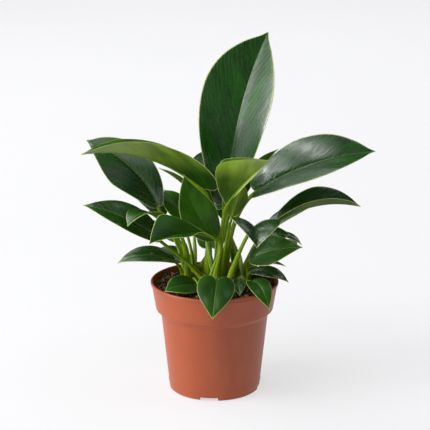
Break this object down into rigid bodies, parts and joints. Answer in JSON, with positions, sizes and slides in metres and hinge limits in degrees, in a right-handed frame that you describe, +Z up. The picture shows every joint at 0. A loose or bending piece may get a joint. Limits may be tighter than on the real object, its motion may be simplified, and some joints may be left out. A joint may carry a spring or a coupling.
{
  "type": "potted green princess philodendron",
  "caption": "Bushy green house plant with glossy lance-shaped and heart-shaped leaves on long stalks, in a tapered terracotta-coloured plastic nursery pot with soil.",
  "frame": {"origin": "centre of the flat pad in the middle of the pot's underside, on the surface that the pot stands on", "axes": "+Z up along the pot's axis, +X to the right and -Y towards the viewer of the plant's fuller front"},
  "size_m": [0.27, 0.2068, 0.3341],
  "materials": {
    "pot": "satin moulded terracotta-coloured polypropylene",
    "soil": "loose dark potting mix with bark crumbs and fibres",
    "leaf": "glossy dark green leaf with a pale midrib and a thin pale margin",
    "young_leaf": "smooth yellow-green young leaf and stalk"
  },
  "bodies": {
    "root": {"pot": "pot", "soil": "soil", "near_stem": "young_leaf", "front_stem": "young_leaf", "left_stem": "young_leaf", "right_stem": "young_leaf", "middle_stem": "young_leaf", "back_left_stem": "young_leaf", "back_right_stem": "young_leaf", "front_rolled_leaf": "young_leaf", "left_rolled_leaf": "young_leaf", "right_rolled_leaf": "young_leaf", "back_rolled_leaf": "young_leaf", "tall_leaf": "leaf", "left_arching_leaf": "leaf", "young_folded_leaf": "young_leaf", "right_wide_leaf": "leaf", "right_low_leaf": "leaf", "left_dark_leaf": "leaf", "left_low_leaf": "leaf", "left_small_leaf": "leaf", "front_left_leaf": "leaf", "centre_upright_leaf": "leaf", "front_heart_leaf": "leaf", "front_rim_leaf": "leaf", "left_drooping_leaf": "leaf", "right_heart_leaf": "leaf", "right_glossy_leaf": "leaf", "right_thin_leaf": "leaf", "right_flat_leaf": "leaf", "right_arching_leaf": "leaf", "right_dark_leaf": "leaf", "right_shaded_leaf": "leaf", "right_rim_leaf": "leaf", "left_hidden_leaf": "leaf", "left_edge_leaf": "leaf", "young_bright_leaf": "young_leaf", "young_pointed_leaf": "young_leaf", "back_grey_leaf": "leaf", "back_tall_leaf": "leaf", "back_centre_leaf": "leaf", "back_left_leaf": "leaf", "back_right_leaf": "leaf", "back_inner_leaf": "leaf", "back_low_left_leaf": "leaf", "back_low_leaf": "leaf", "back_low_right_leaf": "leaf"}
  },
  "joints": []
}
